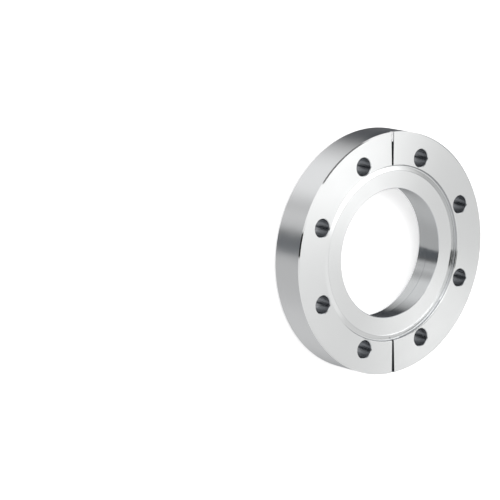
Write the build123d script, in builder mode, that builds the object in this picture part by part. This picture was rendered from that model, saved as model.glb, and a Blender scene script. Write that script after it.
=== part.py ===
from build123d import *
from math import cos, isclose, radians, sin, tan
import os

os.makedirs("parts", exist_ok=True)

# A bored knife-edge vacuum flange: one piece of stainless steel, turned all over,
# then drilled for its bolts. It lies on its back face. The origin is the centre of
# that face, and +Z runs along the axis towards the sealing side. Lengths are in
# millimetres and angles in degrees.

# Tube and port: the tube is welded into a socket from behind, and the port in
# front of it is as wide as the tube's inside.
tube_d = 63.5
tube_wall = 1.5
tube_clearance = 0.2
socket_depth = 8.3
socket_lead_in = 1.0
port_edge_break = 0.25

# Widths across the sealing side, from the port outwards. The knife edge stands
# between the inner land and the gasket recess, and the recess ends just inside
# the bolt holes.
inner_land = 8.35
knife_to_recess_wall = 2.65
recess_to_bolt_hole = 0.65
bolt_hole_d = 8.4
bolt_hole_to_rim = 6.45

# Thickness, and the depths of the sealing side below the bolting face
thickness = 17.3
recess_depth = 1.3
inner_land_drop = 1.3

# Knife edge: its inner flank is upright, and its outer flank rises gently from
# the floor of the recess.
knife_height = 0.66
knife_flank_angle = 20
knife_tip_radius = 0.1

# Broken edges of the disc, the recess and the bolt holes, and the round corner that
# the tool's nose leaves where the recess's floor meets its wall
front_rim_chamfer = 0.5
back_rim_chamfer = 1.0
recess_edge_break = 0.15
recess_corner_radius = 0.5
bolt_hole_chamfer = 0.3
bolt_count = 8

# Leak-check grooves: round-bottomed channels that run from the recess out through
# the rim, each halfway between two bolt holes. They get wider and deeper on the way.
groove_width = 1.0
groove_depth = 1.2
groove_rim_width = 1.7
groove_rim_depth = 1.5
groove_run_in = 0.5
groove_run_out = 1.0
first_groove_angle = 90

# Radii that follow from the widths
port_r = tube_d / 2 - tube_wall
socket_r = (tube_d + tube_clearance) / 2
knife_r = port_r + inner_land
recess_r = knife_r + knife_to_recess_wall
bolt_circle_r = recess_r + recess_to_bolt_hole + bolt_hole_d / 2
outer_r = bolt_circle_r + bolt_hole_d / 2 + bolt_hole_to_rim

# Heights above the back face
recess_floor_z = thickness - recess_depth
inner_land_z = thickness - inner_land_drop
knife_tip_z = recess_floor_z + knife_height

# The outer flank meets the floor of the recess here.
knife_foot_r = knife_r + knife_height / tan(radians(knife_flank_angle))

# The second groove is as near opposite the first as the bolt pitch allows.
bolt_pitch = 360 / bolt_count
first_bolt_angle = first_groove_angle + bolt_pitch / 2
second_groove_angle = first_groove_angle + bolt_count // 2 * bolt_pitch

# Where the grooves start and end
groove_start_r = recess_r - groove_run_in
groove_end_r = outer_r + groove_run_out


def groove_plane(angle, radius):
    """Stands a plane across a groove at a radius, facing outwards."""
    outwards = Vector(cos(radians(angle)), sin(radians(angle)), 0)
    return Plane(origin=outwards * radius + Vector(0, 0, thickness), x_dir=(0, 0, 1), z_dir=outwards)


def along_groove(inner, at_rim, radius):
    """Gives a size of a groove at a radius, from its size at the start and at the rim."""
    return inner + (at_rim - inner) * (radius - groove_start_r) / (outer_r - groove_start_r)


with BuildPart() as flange:
    # Half of the section through the axis, turned into the whole disc
    with BuildSketch(Plane.XZ) as section:
        with BuildLine():
            Polyline(
                (socket_r, 0),
                (outer_r, 0),
                (outer_r, thickness),
                (recess_r, thickness),
                (recess_r, recess_floor_z),
                (knife_foot_r, recess_floor_z),
                (knife_r, knife_tip_z),
                (knife_r, inner_land_z),
                (port_r, inner_land_z),
                (port_r, socket_depth),
                (socket_r, socket_depth),
                close=True,
            )
        make_face()

        def corner(radius, height):
            """Picks the section's corner at a radius and a height."""
            return section.vertices().sort_by_distance((radius, height))[0]

        chamfer(corner(socket_r, 0), socket_lead_in)
        chamfer(corner(outer_r, 0), back_rim_chamfer)
        chamfer(corner(outer_r, thickness), front_rim_chamfer)
        chamfer(corner(recess_r, thickness), recess_edge_break)
        chamfer(corner(port_r, inner_land_z), port_edge_break)
        fillet(corner(knife_r, knife_tip_z), knife_tip_radius)
        fillet(corner(recess_r, recess_floor_z), recess_corner_radius)
    revolve(axis=Axis.Z)

    # Bolt holes, drilled through and broken at both mouths
    with Locations((0, 0, thickness)):
        with PolarLocations(bolt_circle_r, bolt_count, start_angle=first_bolt_angle):
            Hole(bolt_hole_d / 2)
    hole_mouths = flange.edges().filter_by(
        lambda edge: edge.geom_type == GeomType.CIRCLE and isclose(edge.radius, bolt_hole_d / 2)
    )
    chamfer(hole_mouths, bolt_hole_chamfer)

    # Leak-check grooves: half of each slot's outline lies above the bolting face
    for angle in (first_groove_angle, second_groove_angle):
        for radius in (groove_start_r, groove_end_r):
            with BuildSketch(groove_plane(angle, radius)):
                SlotOverall(
                    2 * along_groove(groove_depth, groove_rim_depth, radius),
                    along_groove(groove_width, groove_rim_width, radius),
                )
        loft(mode=Mode.SUBTRACT)

flange.part.label = "flange"
export_step(flange.part, "parts/flange.step")
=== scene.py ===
"""Visual model of a bored knife-edge vacuum flange, lying on its back face.

Lengths in the classes are in millimetres and angles in degrees. Everything that goes to
Blender is turned to metres and radians where it is handed over.
"""

import logging
from collections.abc import Callable
from dataclasses import dataclass
from enum import Enum
from math import cos, hypot, pi, radians, sin, tan
from typing import Any

import bpy
from mathutils import Matrix, Vector


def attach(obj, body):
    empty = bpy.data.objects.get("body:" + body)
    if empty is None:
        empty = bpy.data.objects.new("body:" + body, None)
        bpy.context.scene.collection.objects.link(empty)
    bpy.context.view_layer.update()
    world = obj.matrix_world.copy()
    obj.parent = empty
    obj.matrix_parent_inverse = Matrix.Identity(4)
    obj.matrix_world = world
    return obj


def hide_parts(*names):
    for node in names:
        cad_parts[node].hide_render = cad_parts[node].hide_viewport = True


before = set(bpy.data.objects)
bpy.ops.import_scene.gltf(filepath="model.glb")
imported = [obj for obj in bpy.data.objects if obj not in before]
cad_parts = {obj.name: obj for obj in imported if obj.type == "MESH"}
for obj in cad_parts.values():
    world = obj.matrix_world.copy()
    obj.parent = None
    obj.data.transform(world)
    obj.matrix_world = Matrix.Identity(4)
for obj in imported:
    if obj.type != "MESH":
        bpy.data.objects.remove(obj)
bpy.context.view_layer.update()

log = logging.getLogger("flange")

MM = 0.001
ORIGIN = (0.0, 0.0, 0.0)

# How far a vertex or a face may lie from where it is looked for, and how near two vertices are that
# are doubles, in millimetres
NEAR = 0.01
DOUBLE = 0.001

# What the upward part of a face's normal says: above LEVEL the face is level, below UPRIGHT it is
# upright, and between them it slopes. Above DEAD_LEVEL or below DEAD_UPRIGHT it doesn't slope at all.
LEVEL = 0.9
UPRIGHT = 0.3
DEAD_LEVEL = 0.999
DEAD_UPRIGHT = 0.05

# How large the spots are that a tool cuts more or less brightly, in millimetres, how much they
# differ, and the two levels of the noise that they lie between
SPOT_SIZE = 9.0
SPOTTINESS = 0.05
SPOT_LOW, SPOT_HIGH = 0.3, 0.7

# How many finer marks lie between the tool marks, and how strong each is beside the next coarser one
MARK_DETAIL = 2.0
MARK_FINENESS = 0.6


def linear(code: str) -> tuple[float, float, float, float]:
    """Turns an sRGB hex colour to the linear colour that a shader takes.

    Args:
        code: The colour, such as "#C9C9C7".

    Returns:
        Red, green, blue and an alpha of 1.
    """
    parts = [int(code[place : place + 2], 16) / 255 for place in (1, 3, 5)]
    red, green, blue = (
        part / 12.92 if part <= 0.04045 else ((part + 0.055) / 1.055) ** 2.4 for part in parts
    )
    return red, green, blue, 1.0


def add_node(
    tree: bpy.types.NodeTree,
    kind: str,
    settings: dict[str, Any] | None = None,
    inputs: dict[str | int, Any] | None = None,
) -> bpy.types.Node:
    """Adds a node with its settings and links.

    Args:
        tree: The node tree that it goes into.
        kind: The node's type.
        settings: The node's own settings by name.
        inputs: A value or another node's output for each input, by name or number.

    Returns:
        The new node.
    """
    node = tree.nodes.new(kind)
    for name, value in (settings or {}).items():
        setattr(node, name, value)
    for place, value in (inputs or {}).items():
        if isinstance(value, bpy.types.NodeSocket):
            tree.links.new(value, node.inputs[place])
        else:
            node.inputs[place].default_value = value
    return node


class Cut(Enum):
    """How a surface of the flange was cut, which sets the way its tool marks run."""

    FACED = "faced"
    TURNED = "turned"
    BORED = "bored"
    EDGED = "edged"
    DEBURRED = "deburred"
    DRILLED = "drilled"
    MILLED = "milled"
    NOSED = "nosed"


@dataclass(frozen=True)
class Patch:
    """A stretch of a surface in another colour: the part inside a box. It holds painted shade, a painted
    highlight or a darker band.

    Attributes:
        low: The box's lowest corner, in millimetres.
        high: The box's highest corner.
        colour: The colour inside, in sRGB hex.
        edge: How far the colour takes to change.
    """

    low: tuple[float, float, float]
    high: tuple[float, float, float]
    colour: str
    edge: float = 0.1

    def mask(self, tree: bpy.types.NodeTree, parts: bpy.types.NodeOutputs) -> bpy.types.NodeSocket:
        """Tells how far a point lies in the patch.

        Args:
            tree: The material's node tree.
            parts: The point's X, Y and Z.

        Returns:
            A number from 0, outside, to 1, inside.
        """
        inside: Any = 1.0
        for number, (low, high) in enumerate(zip(self.low, self.high)):
            for place, before, after in ((low, 0.0, 1.0), (high, 1.0, 0.0)):
                ends = {
                    1: (place - self.edge / 2) * MM,
                    2: (place + self.edge / 2) * MM,
                    3: before,
                    4: after,
                }
                side = add_node(tree, "ShaderNodeMapRange", None, {0: parts[number]} | ends)
                both = {0: inside, 1: side.outputs[0]}
                inside = add_node(tree, "ShaderNodeMath", {"operation": "MULTIPLY"}, both).outputs[0]
        return inside


@dataclass(frozen=True)
class SteelFinish:
    """Austenitic stainless steel with the marks that one way of cutting leaves.

    Attributes:
        name: The material's name.
        cut: The way the surface was cut.
        colour: The colour of the metal, in sRGB hex; in some finishes it is darkened as painted shade.
        roughness: How wide the metal spreads its reflections.
        anisotropy: How much wider it spreads them across the marks than along them.
        mark_pitch: The distance from one mark to the next, in millimetres.
        mark_depth: The depth of the marks, in millimetres.
        patch: A stretch of another colour, if it has one.
    """

    name: str
    cut: Cut
    colour: str
    roughness: float
    anisotropy: float
    mark_pitch: float
    mark_depth: float
    patch: Patch | None = None

    def make(self) -> bpy.types.Material:
        """Makes the material.

        Returns:
            The new material.
        """
        material = bpy.data.materials.new(self.name)
        material.use_nodes = True
        tree = material.node_tree
        tree.nodes.clear()
        place = add_node(tree, "ShaderNodeTexCoord").outputs["Object"]
        parts = add_node(tree, "ShaderNodeSeparateXYZ", inputs={0: place}).outputs
        flat = add_node(tree, "ShaderNodeVectorMath", {"operation": "MULTIPLY"}, {0: place, 1: (1, 1, 0)})
        radius = add_node(tree, "ShaderNodeVectorMath", {"operation": "LENGTH"}, {0: flat.outputs[0]})
        # Marks lie one after the other outwards on a face, and upwards on a wall.
        across = radius.outputs["Value"] if self.cut is Cut.FACED else parts["Z"]
        marks = add_node(
            tree,
            "ShaderNodeTexNoise",
            {"noise_dimensions": "1D"},
            {
                "W": across,
                "Scale": 1 / (self.mark_pitch * MM),
                "Detail": MARK_DETAIL,
                "Roughness": MARK_FINENESS,
            },
        )
        bump = add_node(
            tree,
            "ShaderNodeBump",
            inputs={"Strength": 1.0, "Distance": self.mark_depth * MM, "Height": marks.outputs["Fac"]},
        )
        tangent = add_node(tree, "ShaderNodeTangent", {"direction_type": "RADIAL", "axis": "Z"})
        colour: Any = linear(self.colour)
        if self.patch:
            colours = {0: self.patch.mask(tree, parts), 6: colour, 7: linear(self.patch.colour)}
            colour = add_node(tree, "ShaderNodeMix", {"data_type": "RGBA"}, colours).outputs[2]
        # The tool cuts a little brighter in one place than in the next.
        size = {"Vector": place, "Scale": 1 / (SPOT_SIZE * MM)}
        spots = add_node(tree, "ShaderNodeTexNoise", inputs=size)
        rough = add_node(
            tree,
            "ShaderNodeMapRange",
            inputs={
                0: spots.outputs["Fac"],
                1: SPOT_LOW,
                2: SPOT_HIGH,
                3: self.roughness * (1 - SPOTTINESS),
                4: self.roughness * (1 + SPOTTINESS),
            },
        )
        shader = add_node(
            tree,
            "ShaderNodeBsdfPrincipled",
            inputs={
                "Base Color": colour,
                "Metallic": 1.0,
                "Roughness": rough.outputs[0],
                "Anisotropic": self.anisotropy,
                # The tangent runs along the marks, and a quarter turn spreads across them.
                "Anisotropic Rotation": 0.0 if self.cut is Cut.MILLED else 0.25,
                "Normal": bump.outputs["Normal"],
                "Tangent": tangent.outputs["Tangent"],
            },
        )
        add_node(tree, "ShaderNodeOutputMaterial", inputs={"Surface": shader.outputs["BSDF"]})
        return material


# The marks of all the cuts are drawn about five times as coarse as the real feed of a lathe, a
# sixth of a millimetre for each turn, which is too fine to show.

# Faced on a lathe: rings round the axis fan the light out across them, so a face is satin and
# brighter on one side. The recess's wall and the knife edge's inner flank, cut with it, are as bright.
FACED_STEEL = SteelFinish(
    name="faced_stainless_steel",
    cut=Cut.FACED,
    colour="#DCDDDD",
    roughness=0.156,
    anisotropy=0.954,
    mark_pitch=0.9,
    mark_depth=0.0002,
)

# Turned on a lathe: rings round the rim draw each reflection out into a band from front to back.
TURNED_STEEL = SteelFinish(
    name="turned_stainless_steel",
    cut=Cut.TURNED,
    colour="#D1D2D3",
    roughness=0.32,
    anisotropy=0.75,
    mark_pitch=0.8,
    mark_depth=0.0003,
)

# Bored on a lathe: the steel's colour is greyer than the rim's, painted shade for the wall opposite that
# a wall mirrors. A darker band runs round the bore's side towards −Y, at the shoulder for the tube.
BORED_STEEL_PAINTED_SHADE = SteelFinish(
    name="bored_steel_painted_shade",
    cut=Cut.BORED,
    # Greyer than the rim's steel: painted shade
    colour="#BCBEBF",
    roughness=0.25,
    anisotropy=0.99,
    mark_pitch=0.8,
    mark_depth=0.0003,
    # A darker band on the side towards −Y only, at the shoulder
    patch=Patch(low=(-31, -31, 8.3), high=(31, -3, 8.55), colour="#A2A5A8"),
)

# Turned with a sharp tool: the narrow broken edges are bright and nearly smooth, and so they
# flash white or black.
EDGED_STEEL = SteelFinish(
    name="chamfered_stainless_steel",
    cut=Cut.EDGED,
    colour="#DFE0E0",
    roughness=0.08,
    anisotropy=0.5,
    mark_pitch=0.8,
    mark_depth=0.0,
)

# Deburred with a countersink: duller than a turned edge, so it hardly stands out from the face.
DEBURRED_STEEL = SteelFinish(
    name="deburred_stainless_steel",
    cut=Cut.DEBURRED,
    colour="#CCCED0",
    roughness=0.22,
    anisotropy=0.3,
    mark_pitch=0.8,
    mark_depth=0.0002,
)

# Drilled and reamed: the steel's colour is darker than the other steel's, painted shade for a deep hole,
# out of which light comes only after several bounces.
DRILLED_STEEL_PAINTED_SHADE = SteelFinish(
    name="drilled_steel_painted_shade",
    cut=Cut.DRILLED,
    # Darker than the other steel: painted shade in the hole
    colour="#ABADB0",
    roughness=0.25,
    anisotropy=0.3,
    mark_pitch=0.6,
    mark_depth=0.0005,
)

# Milled with a ball-nosed cutter: the steel's dark colour is painted shade in the grooves, and the white
# patch at the +Y groove's outer end, where it runs out through the rim, is a painted highlight.
MILLED_STEEL_PAINTED_SHADE_AND_HIGHLIGHT = SteelFinish(
    name="milled_steel_painted_shade_and_highlight",
    cut=Cut.MILLED,
    # Dark: painted shade in the grooves
    colour="#5A5D61",
    roughness=0.25,
    anisotropy=0.5,
    mark_pitch=0.6,
    mark_depth=0.0005,
    # White: a painted highlight at the +Y groove's outer end
    patch=Patch(low=(-1, 52.1, 15.5), high=(1, 58, 16.8), colour="#FAFAFA", edge=0.3),
)

# Turned by the nose of the facing tool, in the recess's corner and round the tip of the knife edge: the steel
# is greyer there, so a thin grey line runs along both; in the corner it is painted shade, and the patch
# paints deeper shade on one side of the corner.
NOSED_STEEL_PAINTED_SHADE = SteelFinish(
    name="nose_turned_steel_painted_shade",
    # Greyer than the faced steel; in the recess's corner it is painted shade
    cut=Cut.NOSED,
    colour="#ACAEB0",
    roughness=0.2,
    anisotropy=0.8,
    mark_pitch=0.8,
    mark_depth=0.0002,
    # Darker still: painted shade on one side of the recess's corner
    patch=Patch(low=(5, -43, 15), high=(31, -26, 16.15), colour="#75777A"),
)


@dataclass
class Flange:
    """The flange: one disc, turned all over, drilled for its bolts and grooved.

    Attributes:
        port_radius: The bore in front of the tube.
        socket_radius: The socket for the tube, behind the port.
        socket_depth: How far the socket goes in from the back face.
        socket_lead_in: The chamfer at the socket's mouth.
        port_edge_break: The broken front edge of the port.
        knife_radius: The knife edge, at its upright inner flank.
        knife_flank_angle: How steeply the knife edge's outer flank rises from the recess's floor.
        knife_tip_radius: The rounding of the knife edge.
        recess_radius: The wall of the gasket recess.
        recess_edge_break: The broken edge of the recess.
        recess_corner_radius: The round corner between the recess's floor and its wall.
        outer_radius: The rim.
        front_rim_chamfer: The rim's chamfer in front.
        back_rim_chamfer: The rim's chamfer behind.
        thickness: From the back face to the bolting face.
        recess_floor: The recess's floor above the back face.
        inner_land: The inner land above the back face.
        knife_tip: The knife edge above the back face, before its rounding.
        bolt_circle_radius: The circle that the bolt holes lie on.
        bolt_hole_radius: Each bolt hole.
        bolt_hole_chamfer: The chamfer at both mouths of a bolt hole.
        bolt_count: The number of bolt holes.
        groove_width: The width of a leak-check groove where it starts.
        groove_depth: The depth of a leak-check groove where it starts.
        groove_rim_width: The width of a leak-check groove at the rim.
        groove_rim_depth: The depth of a leak-check groove at the rim.
        groove_run_in: How far a groove starts inside the recess's wall.
        groove_run_out: How far the cutter of a groove runs out past the rim.
        segments: The flat sides that each turned ring is made of.
        hole_segments: The flat sides of a bolt hole.
        groove_segments: The flat sides of a whole round as wide as a groove.
        round_steps: The flat strips that a rounded corner is made of.
        smooth_angle: Faces that meet at less than this look like one round surface. It is below the
            angle between the recess's floor and the knife edge's flank.
    """

    port_radius: float = 30.25
    socket_radius: float = 31.85
    socket_depth: float = 8.3
    socket_lead_in: float = 1.0
    port_edge_break: float = 0.25
    knife_radius: float = 38.6
    knife_flank_angle: float = 20.0
    knife_tip_radius: float = 0.1
    recess_radius: float = 41.25
    recess_edge_break: float = 0.15
    recess_corner_radius: float = 0.5
    outer_radius: float = 56.75
    front_rim_chamfer: float = 0.5
    back_rim_chamfer: float = 1.0
    thickness: float = 17.3
    recess_floor: float = 16.0
    inner_land: float = 16.0
    knife_tip: float = 16.66
    bolt_circle_radius: float = 46.1
    bolt_hole_radius: float = 4.2
    bolt_hole_chamfer: float = 0.3
    bolt_count: int = 8
    groove_width: float = 1.0
    groove_depth: float = 1.2
    groove_rim_width: float = 1.7
    groove_rim_depth: float = 1.5
    groove_run_in: float = 0.5
    groove_run_out: float = 1.0
    segments: int = 320
    hole_segments: int = 64
    groove_segments: int = 48
    round_steps: int = 8
    smooth_angle: float = 16.0

    def section(self) -> list[tuple[float, float]]:
        """Gives the corners of half the section through the axis.

        Returns:
            The radius and height of each corner, from the socket's mouth round.
        """
        flank_width = (self.knife_tip - self.recess_floor) / tan(radians(self.knife_flank_angle))
        return [
            (self.socket_radius, 0.0),
            (self.outer_radius, 0.0),
            (self.outer_radius, self.thickness),
            (self.recess_radius, self.thickness),
            (self.recess_radius, self.recess_floor),
            (self.knife_radius + flank_width, self.recess_floor),
            (self.knife_radius, self.knife_tip),
            (self.knife_radius, self.inner_land),
            (self.port_radius, self.inner_land),
            (self.port_radius, self.socket_depth),
            (self.socket_radius, self.socket_depth),
        ]

    def tip_offset(self) -> float:
        """Gives how far from its corner the knife edge's rounding starts, on the flank and inside."""
        return self.knife_tip_radius / tan(radians((90 - self.knife_flank_angle) / 2))

    def set_off_rounds(self, piece: bpy.types.Object) -> None:
        """Marks where the knife edge's and the recess's rounds end, so that flat faces look flat.

        Args:
            piece: The flange.
        """
        reach, flank = self.tip_offset(), radians(self.knife_flank_angle)
        bpy.ops.object.mode_set(mode="EDIT")
        for ring_radius, ring_height in (
            (self.knife_radius, self.knife_tip - reach),
            (self.knife_radius + reach * cos(flank), self.knife_tip - reach * sin(flank)),
            (self.recess_radius - self.recess_corner_radius, self.recess_floor),
            (self.recess_radius, self.recess_floor + self.recess_corner_radius),
        ):
            select_ring(piece, ring_radius, ring_height)
            bpy.ops.mesh.mark_sharp()
        bpy.ops.object.mode_set(mode="OBJECT")

    def turn(self) -> bpy.types.Object:
        """Turns the disc: one ring is drawn out from corner to corner of the section.

        Returns:
            The disc with its edges broken, before it is drilled.
        """
        corners = self.section()
        radius, height = corners[0]
        bpy.ops.mesh.primitive_circle_add(vertices=self.segments, radius=radius * MM, location=ORIGIN)
        disc = bpy.context.active_object
        disc.name = disc.data.name = "knife_edge_flange"
        bpy.ops.object.mode_set(mode="EDIT")
        bpy.ops.mesh.select_all(action="SELECT")
        for next_radius, next_height in corners[1:] + corners[:1]:
            bpy.ops.mesh.extrude_region_move()
            grow = next_radius / radius
            bpy.ops.transform.resize(value=(grow, grow, 1.0), center_override=ORIGIN)
            bpy.ops.transform.translate(value=(0.0, 0.0, (next_height - height) * MM))
            radius, height = next_radius, next_height
        close_up()
        for ring_radius, ring_height, offset, steps in (
            (self.socket_radius, 0.0, self.socket_lead_in, 1),
            (self.outer_radius, 0.0, self.back_rim_chamfer, 1),
            (self.outer_radius, self.thickness, self.front_rim_chamfer, 1),
            (self.recess_radius, self.thickness, self.recess_edge_break, 1),
            (self.port_radius, self.inner_land, self.port_edge_break, 1),
            (self.knife_radius, self.knife_tip, self.tip_offset(), self.round_steps),
            (self.recess_radius, self.recess_floor, self.recess_corner_radius, self.round_steps),
        ):
            select_ring(disc, ring_radius, ring_height)
            bpy.ops.mesh.bevel(offset=offset * MM, segments=steps, affect="EDGES", clamp_overlap=False)
        bpy.ops.object.mode_set(mode="OBJECT")
        return disc

    def hole_centre(self, number: int) -> tuple[float, float]:
        """Gives where a bolt hole's axis stands.

        Args:
            number: The bolt hole, counted from 0.

        Returns:
            Its X and Y.
        """
        angle = 2 * pi / self.bolt_count * (number + 0.5)
        return self.bolt_circle_radius * cos(angle), self.bolt_circle_radius * sin(angle)

    def bolt_drills(self) -> bpy.types.Object:
        """Makes the bodies that drill the bolt holes and break their mouths.

        Returns:
            One object with a flared pin for each hole.
        """
        # How far each pin flares past the faces
        spread = 2.0
        straight = self.thickness - 2 * self.bolt_hole_chamfer
        bpy.ops.mesh.primitive_cylinder_add(
            vertices=self.hole_segments,
            radius=self.bolt_hole_radius * MM,
            depth=straight * MM,
            location=(0.0, 0.0, self.thickness / 2 * MM),
        )
        drill = settle(bpy.context.active_object)
        bpy.ops.object.mode_set(mode="EDIT")
        for side in (-1.0, 1.0):
            end = (self.thickness + side * straight) / 2 * MM
            select_vertices(drill, lambda point: abs(point.z - end) < NEAR * MM)
            bpy.ops.mesh.extrude_region_move()
            grow = 1 + spread / self.bolt_hole_radius
            bpy.ops.transform.resize(value=(grow, grow, 1.0), center_override=ORIGIN)
            bpy.ops.transform.translate(value=(0.0, 0.0, side * spread * MM))
        x, y = self.hole_centre(0)
        bpy.ops.mesh.select_all(action="SELECT")
        bpy.ops.transform.translate(value=(x * MM, y * MM, 0.0))
        bpy.ops.mesh.spin(
            steps=self.bolt_count - 1,
            dupli=True,
            angle=2 * pi / self.bolt_count * (self.bolt_count - 1),
            center=ORIGIN,
            axis=(0.0, 0.0, 1.0),
        )
        close_up()
        bpy.ops.object.mode_set(mode="OBJECT")
        return drill

    def along_groove(self, inner: float, at_rim: float, radius: float) -> float:
        """Gives a size of a groove at a radius.

        Args:
            inner: The size where the groove starts.
            at_rim: The size at the rim.
            radius: The radius.

        Returns:
            The size there.
        """
        start = self.recess_radius - self.groove_run_in
        return inner + (at_rim - inner) * (radius - start) / (self.outer_radius - start)

    def groove_cutter(self) -> bpy.types.Object:
        """Makes the bodies that cut the two leak-check grooves.

        Returns:
            One object with a round-bottomed bar for each groove, larger towards the rim.
        """
        # How far the bars stand above their round bottoms' middle, clear of the bolting face
        overrun = 2.0
        start, end = self.recess_radius - self.groove_run_in, self.outer_radius + self.groove_run_out
        end_width = self.along_groove(self.groove_width, self.groove_rim_width, end)
        end_depth = self.along_groove(self.groove_depth, self.groove_rim_depth, end)
        middle = self.thickness - self.groove_depth + self.groove_width / 2
        end_middle = self.thickness - end_depth + end_width / 2
        bpy.ops.mesh.primitive_cylinder_add(
            vertices=self.groove_segments,
            radius=self.groove_width / 2 * MM,
            depth=(end - start) * MM,
            location=(0.0, (start + end) / 2 * MM, middle * MM),
            rotation=(pi / 2, 0.0, 0.0),
        )
        cutter = settle(bpy.context.active_object)
        bpy.ops.object.mode_set(mode="EDIT")
        select_vertices(cutter, lambda point: point.z > (middle - NEAR) * MM)
        bpy.ops.mesh.extrude_region_move()
        bpy.ops.transform.translate(value=(0.0, 0.0, overrun * MM))
        select_vertices(cutter, lambda point: point.y > (end - NEAR) * MM)
        grow = end_width / self.groove_width
        bpy.ops.transform.resize(value=(grow, 1.0, grow), center_override=(0.0, end * MM, middle * MM))
        bpy.ops.transform.translate(value=(0.0, 0.0, (end_middle - middle) * MM))
        bpy.ops.mesh.select_all(action="SELECT")
        bpy.ops.mesh.spin(steps=1, dupli=True, angle=pi, center=ORIGIN, axis=(0.0, 0.0, 1.0))
        close_up()
        bpy.ops.object.mode_set(mode="OBJECT")
        return cutter

    def cut_of(self, face: bpy.types.MeshPolygon) -> Cut:
        """Tells how a face of the finished flange was cut.

        Args:
            face: The face.

        Returns:
            The way it was cut, from where it lies and which way it points.
        """
        x, y, z = (part / MM for part in face.center)
        radius, rise = hypot(x, y), abs(face.normal.z)
        for hole_x, hole_y in map(self.hole_centre, range(self.bolt_count)):
            reach = self.bolt_hole_radius + self.bolt_hole_chamfer + NEAR
            if hypot(x - hole_x, y - hole_y) < reach and rise < LEVEL:
                return Cut.DRILLED if rise < UPRIGHT else Cut.DEBURRED
        width = self.along_groove(self.groove_width, self.groove_rim_width, abs(y))
        depth = self.along_groove(self.groove_depth, self.groove_rim_depth, abs(y))
        in_groove = (
            abs(x) < width / 2 + NEAR
            and abs(y) > self.recess_radius - self.groove_run_in - NEAR
            and z > self.thickness - depth - NEAR
        )
        if in_groove and face.normal.z < DEAD_LEVEL:
            return Cut.MILLED
        corner_middle = self.recess_radius - self.recess_corner_radius / 2
        in_corner = (
            abs(radius - corner_middle) < self.recess_corner_radius / 2 + NEAR
            and z < self.recess_floor + self.recess_corner_radius - NEAR
        )
        tip_width = self.tip_offset() * cos(radians(self.knife_flank_angle))
        at_tip = 0 < radius - self.knife_radius < tip_width
        if (in_corner or at_tip) and DEAD_UPRIGHT < face.normal.z < DEAD_LEVEL:
            return Cut.NOSED
        if rise > LEVEL:
            return Cut.FACED
        if rise > UPRIGHT:
            return Cut.EDGED if radius > self.knife_radius - NEAR else Cut.DEBURRED
        if radius > self.bolt_circle_radius:
            return Cut.TURNED
        return Cut.FACED if radius > self.knife_radius - NEAR else Cut.BORED

    def build(self) -> bpy.types.Object:
        """Builds the flange and dresses it.

        Returns:
            The finished piece.
        """
        piece = self.turn()
        for tool in (self.bolt_drills(), self.groove_cutter()):
            cut_away(piece, tool)
        finishes = (
            FACED_STEEL,
            TURNED_STEEL,
            BORED_STEEL_PAINTED_SHADE,
            EDGED_STEEL,
            DEBURRED_STEEL,
            DRILLED_STEEL_PAINTED_SHADE,
            MILLED_STEEL_PAINTED_SHADE_AND_HIGHLIGHT,
            NOSED_STEEL_PAINTED_SHADE,
        )
        for finish in finishes:
            piece.data.materials.append(finish.make())
        slots = {finish.cut: number for number, finish in enumerate(finishes)}
        for face in piece.data.polygons:
            face.material_index = slots[self.cut_of(face)]
        self.set_off_rounds(piece)
        bpy.ops.object.shade_smooth_by_angle(angle=radians(self.smooth_angle))
        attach(piece, "root")
        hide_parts("flange")
        return piece


def settle(piece: bpy.types.Object) -> bpy.types.Object:
    """Puts an object's place and turn into its mesh.

    Args:
        piece: The active object.

    Returns:
        The same object, now at the origin.
    """
    bpy.ops.object.transform_apply(location=True, rotation=True, scale=True)
    return piece


def select_vertices(piece: bpy.types.Object, wanted: Callable[[Vector], bool]) -> None:
    """Selects the vertices of an object in edit mode by their place, and what they bound.

    Args:
        piece: The object in edit mode.
        wanted: Says for a place whether its vertex is selected.
    """
    bpy.ops.mesh.select_mode(type="VERT")
    bpy.ops.mesh.select_all(action="DESELECT")
    bpy.ops.object.mode_set(mode="OBJECT")
    for vertex in piece.data.vertices:
        vertex.select = wanted(vertex.co)
    bpy.ops.object.mode_set(mode="EDIT")
    bpy.ops.mesh.select_mode(type="EDGE")
    bpy.ops.mesh.select_mode(type="VERT")


def select_ring(piece: bpy.types.Object, radius: float, height: float) -> None:
    """Selects a turned ring of an object in edit mode.

    Args:
        piece: The object in edit mode.
        radius: The ring's radius, in millimetres.
        height: Its height above the back face.
    """
    select_vertices(
        piece,
        lambda point: abs(hypot(point.x, point.y) / MM - radius) < NEAR and abs(point.z / MM - height) < NEAR,
    )


def close_up() -> None:
    """Merges the doubles of the mesh in edit mode and turns its faces outwards."""
    bpy.ops.mesh.select_all(action="SELECT")
    bpy.ops.mesh.remove_doubles(threshold=DOUBLE * MM)
    bpy.ops.mesh.normals_make_consistent(inside=False)


def cut_away(piece: bpy.types.Object, tool: bpy.types.Object) -> None:
    """Takes one body away from another.

    Args:
        piece: The body that stays.
        tool: The body that is taken away, and then removed.
    """
    bpy.ops.object.select_all(action="DESELECT")
    piece.select_set(True)
    bpy.context.view_layer.objects.active = piece
    bpy.ops.object.modifier_add(type="BOOLEAN")
    cut = piece.modifiers[-1]
    cut.operation, cut.solver, cut.object = "DIFFERENCE", "EXACT", tool
    bpy.ops.object.modifier_apply(modifier=cut.name)
    bpy.data.objects.remove(tool)


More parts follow.
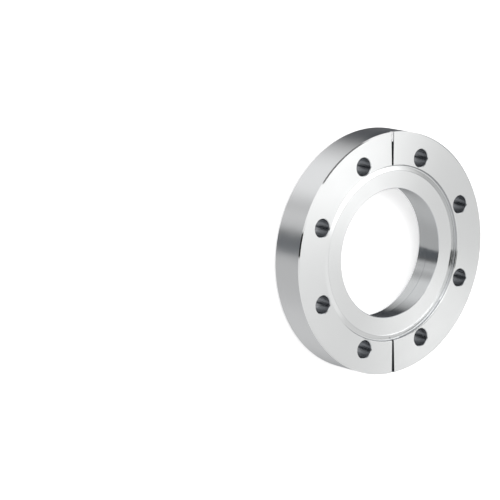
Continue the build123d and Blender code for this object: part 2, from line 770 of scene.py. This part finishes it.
@dataclass(frozen=True)
class Card:
    """A soft-edged card of the studio tent, far away round the object.

    Attributes:
        azimuth: Where its middle is, from +X towards +Y.
        elevation: How high its middle is.
        width: Its width, as an angle.
        height: Its height, as an angle.
        level: Its brightness, where 1 is white.
        edge: How soft its edges are, as an angle.
        roll: How far it is turned in its own plane.
        colour: Its colour at a brightness of 1, in sRGB hex.
    """

    azimuth: float
    elevation: float
    width: float
    height: float
    level: float
    edge: float
    roll: float = 0.0
    colour: str = "#FFFFFF"

    def light(self) -> tuple[float, float, float]:
        """Gives the light that comes from the card, as linear red, green and blue."""
        red, green, blue, _ = linear(self.colour)
        return self.level * red, self.level * green, self.level * blue


@dataclass
class Studio:
    """The floor and the tent of soft light round the object.

    Attributes:
        floor_side: The length of the floor's sides, in millimetres.
        floor_gap: How far the floor lies below the flange, in millimetres.
        floor_colour: The colour of the floor's paint, in sRGB hex.
        floor_glow: How much the floor glows for the camera alone, where 1 is white.
        cards: The tent's cards, each in front of those before it.
    """

    floor_side: float = 6000.0
    floor_gap: float = 0.02
    floor_colour: str = "#F4F4F4"
    floor_glow: float = 0.4
    cards: tuple[Card, ...] = (
        # The cloth overhead, the lower half of the tent, and a brighter stretch at its far side
        Card(0, 90, 172, 172, 0.8, 16),
        Card(0, -90, 172, 172, 0.715, 16),
        Card(319.4, -46, 130, 84, 0.86, 20),
        # The dark drape that the top of the rim and the bottom of the bore reflect
        Card(19.8, -49.5, 89.4, 77, 0.032, 19, 0, "#C4DAFF"),
        # The bright sweep beside the camera, its grey end, and two seams in it
        Card(92.4, -46, 48.5, 84, 0.535, 13),
        Card(119.6, -46, 59.8, 84, 1.205, 27),
        Card(138.6, -46, 9, 84, 0.54, 16),
        Card(153.9, -46, 3.5, 84, 0.84, 1.5),
        # White cards in front of the object and behind it
        Card(215, 26, 59, 59, 0.97, 49),
        Card(303, 80, 56, 56, 1.05, 8),
        # The grey edge of the tent's door
        Card(0, 29, 27, 32, 0.52, 3),
        # The lamp behind the camera, a white card beside it, and the softbox over the object
        Card(130, 20, 50, 50, 1.34, 24),
        Card(41, 10, 48, 23, 1.18, 5),
        Card(53, 63, 62, 30, 3.67, 26, 3),
        # The gap between the softbox and the lamp
        Card(91, 32, 42, 8.5, 0.2, 3, 19),
        # The camera and its stand
        Card(167, -46, 7, 46, 0.016, 8, 0, "#CFE6FF"),
        Card(176, -46, 11.8, 46, 0.084, 1.5, 0, "#CFE6FF"),
        Card(173.3, 30, 16.8, 60, 0.02, 2),
    )

    def lay_floor(self) -> bpy.types.Object:
        """Lays the floor.

        Returns:
            The floor.
        """
        place = (0.0, 0.0, -self.floor_gap * MM)
        bpy.ops.mesh.primitive_plane_add(size=self.floor_side * MM, location=place)
        floor = settle(bpy.context.active_object)
        floor.name = floor.data.name = "studio_floor"
        material = bpy.data.materials.new("painted_white_floor")
        material.use_nodes = True
        tree = material.node_tree
        tree.nodes.clear()
        seen = add_node(tree, "ShaderNodeLightPath").outputs["Is Camera Ray"]
        colour = {"Color": linear(self.floor_colour)}
        paint = add_node(tree, "ShaderNodeBsdfDiffuse", inputs=colour).outputs[0]
        light = {"Color": (1, 1, 1, 1), "Strength": self.floor_glow}
        glow = add_node(tree, "ShaderNodeEmission", inputs=light).outputs[0]
        both = add_node(tree, "ShaderNodeAddShader", inputs={0: glow, 1: paint}).outputs[0]
        shown = add_node(tree, "ShaderNodeMixShader", inputs={0: seen, 1: paint, 2: both}).outputs[0]
        add_node(tree, "ShaderNodeOutputMaterial", inputs={"Surface": shown})
        floor.data.materials.append(material)
        # The metal reflects the tent below it, and not the floor that it lies on.
        floor.visible_glossy = False
        return floor

    def hang_tent(self) -> bpy.types.World:
        """Hangs the tent.

        Returns:
            The world that lights the scene.
        """
        world = bpy.data.worlds.new("studio_tent")
        world.use_nodes = True
        bpy.context.scene.world = world
        tree = world.node_tree
        tree.nodes.clear()
        looking = add_node(tree, "ShaderNodeTexCoord").outputs["Generated"]
        white = (1.0, 1.0, 1.0)
        shown: Any = white
        for card in self.cards:
            shown = self.hang_card(tree, looking, shown, card)
        seen = add_node(tree, "ShaderNodeLightPath").outputs["Is Camera Ray"]
        views = {0: seen, 4: shown, 5: white}
        shown = add_node(tree, "ShaderNodeMix", {"data_type": "VECTOR"}, views).outputs[1]
        light = add_node(tree, "ShaderNodeBackground", inputs={"Color": shown, "Strength": 1.0})
        add_node(tree, "ShaderNodeOutputWorld", inputs={"Surface": light.outputs[0]})
        return world

    @staticmethod
    def hang_card(
        tree: bpy.types.NodeTree, looking: bpy.types.NodeSocket, behind: Any, card: Card
    ) -> bpy.types.NodeSocket:
        """Hangs a card in front of what is there already.

        Args:
            tree: The world's node tree.
            looking: The direction that is looked in.
            behind: The light from behind the card.
            card: The card.

        Returns:
            The light with the card in front.
        """
        turn, rise = radians(card.azimuth), radians(card.elevation)
        front = Vector((cos(turn) * cos(rise), sin(turn) * cos(rise), sin(rise)))
        side = Vector((-sin(turn), cos(turn), 0.0))
        up = front.cross(side)
        spin = Matrix.Rotation(radians(card.roll), 3, front)
        dot = {"operation": "DOT_PRODUCT"}
        ahead = add_node(tree, "ShaderNodeVectorMath", dot, {0: looking, 1: front}).outputs["Value"]
        masks = []
        for axis, size in ((spin @ side, card.width), (spin @ up, card.height)):
            aside = add_node(tree, "ShaderNodeVectorMath", dot, {0: looking, 1: axis}).outputs["Value"]
            angle = add_node(tree, "ShaderNodeMath", {"operation": "ARCTAN2"}, {0: aside, 1: ahead})
            away = add_node(tree, "ShaderNodeMath", {"operation": "ABSOLUTE"}, {0: angle.outputs[0]})
            half = size / 2
            masks.append(
                add_node(
                    tree,
                    "ShaderNodeMapRange",
                    {"interpolation_type": "SMOOTHSTEP"},
                    {
                        0: away.outputs[0],
                        1: radians(half - card.edge / 2),
                        2: radians(half + card.edge / 2),
                        3: 1.0,
                        4: 0.0,
                    },
                ).outputs[0]
            )
        mask = add_node(tree, "ShaderNodeMath", {"operation": "MULTIPLY"}, {0: masks[0], 1: masks[1]})
        mixed = add_node(
            tree, "ShaderNodeMix", {"data_type": "VECTOR"}, {0: mask.outputs[0], 4: behind, 5: card.light()}
        )
        return mixed.outputs[1]


@dataclass(frozen=True)
class Viewpoint:
    """Where the camera stands and looks.

    Attributes:
        eye: Where it stands.
        aim: The point that it looks at.
        lens: Its focal length.
        film: The width of its film.
        roll: How far it is turned round its line of sight.
        near: The distance from which on it sees.
        far: The distance up to which it sees.
    """

    eye: tuple[float, float, float] = (-733.76, 229.24, 825.34)
    aim: tuple[float, float, float] = (-84.51, 13.65, 17.3)
    lens: float = 173.75
    film: float = 36.0
    roll: float = -0.78
    near: float = 10.0
    far: float = 100000.0

    def place(self) -> bpy.types.Object:
        """Sets the camera up with the flange's +Y upwards in the picture.

        Returns:
            The camera.
        """
        data = bpy.data.cameras.new("camera")
        data.lens, data.sensor_width = self.lens, self.film
        data.clip_start, data.clip_end = self.near * MM, self.far * MM
        camera = bpy.data.objects.new("camera", data)
        bpy.context.scene.collection.objects.link(camera)
        back = (Vector(self.eye) - Vector(self.aim)).normalized()
        right = Vector((0.0, 1.0, 0.0)).cross(back).normalized()
        up = back.cross(right)
        turn = Matrix((right, up, back)).transposed() @ Matrix.Rotation(radians(self.roll), 3, "Z")
        camera.matrix_world = Matrix.Translation(Vector(self.eye) * MM) @ turn.to_4x4()
        bpy.context.scene.camera = camera
        return camera


def main() -> None:
    """Builds the flange, the studio and the camera in order."""
    logging.basicConfig(level=logging.INFO, format="%(name)s: %(message)s")
    bpy.ops.object.select_all(action="DESELECT")
    piece = Flange().build()
    log.info("%s: %d faces", piece.name, len(piece.data.polygons))
    studio = Studio()
    log.info("%s laid", studio.lay_floor().name)
    log.info("%s hung", studio.hang_tent().name)
    log.info("%s placed", Viewpoint().place().name)
    bpy.context.scene.view_settings.view_transform = "Standard"


if __name__ == "__main__":
    main()
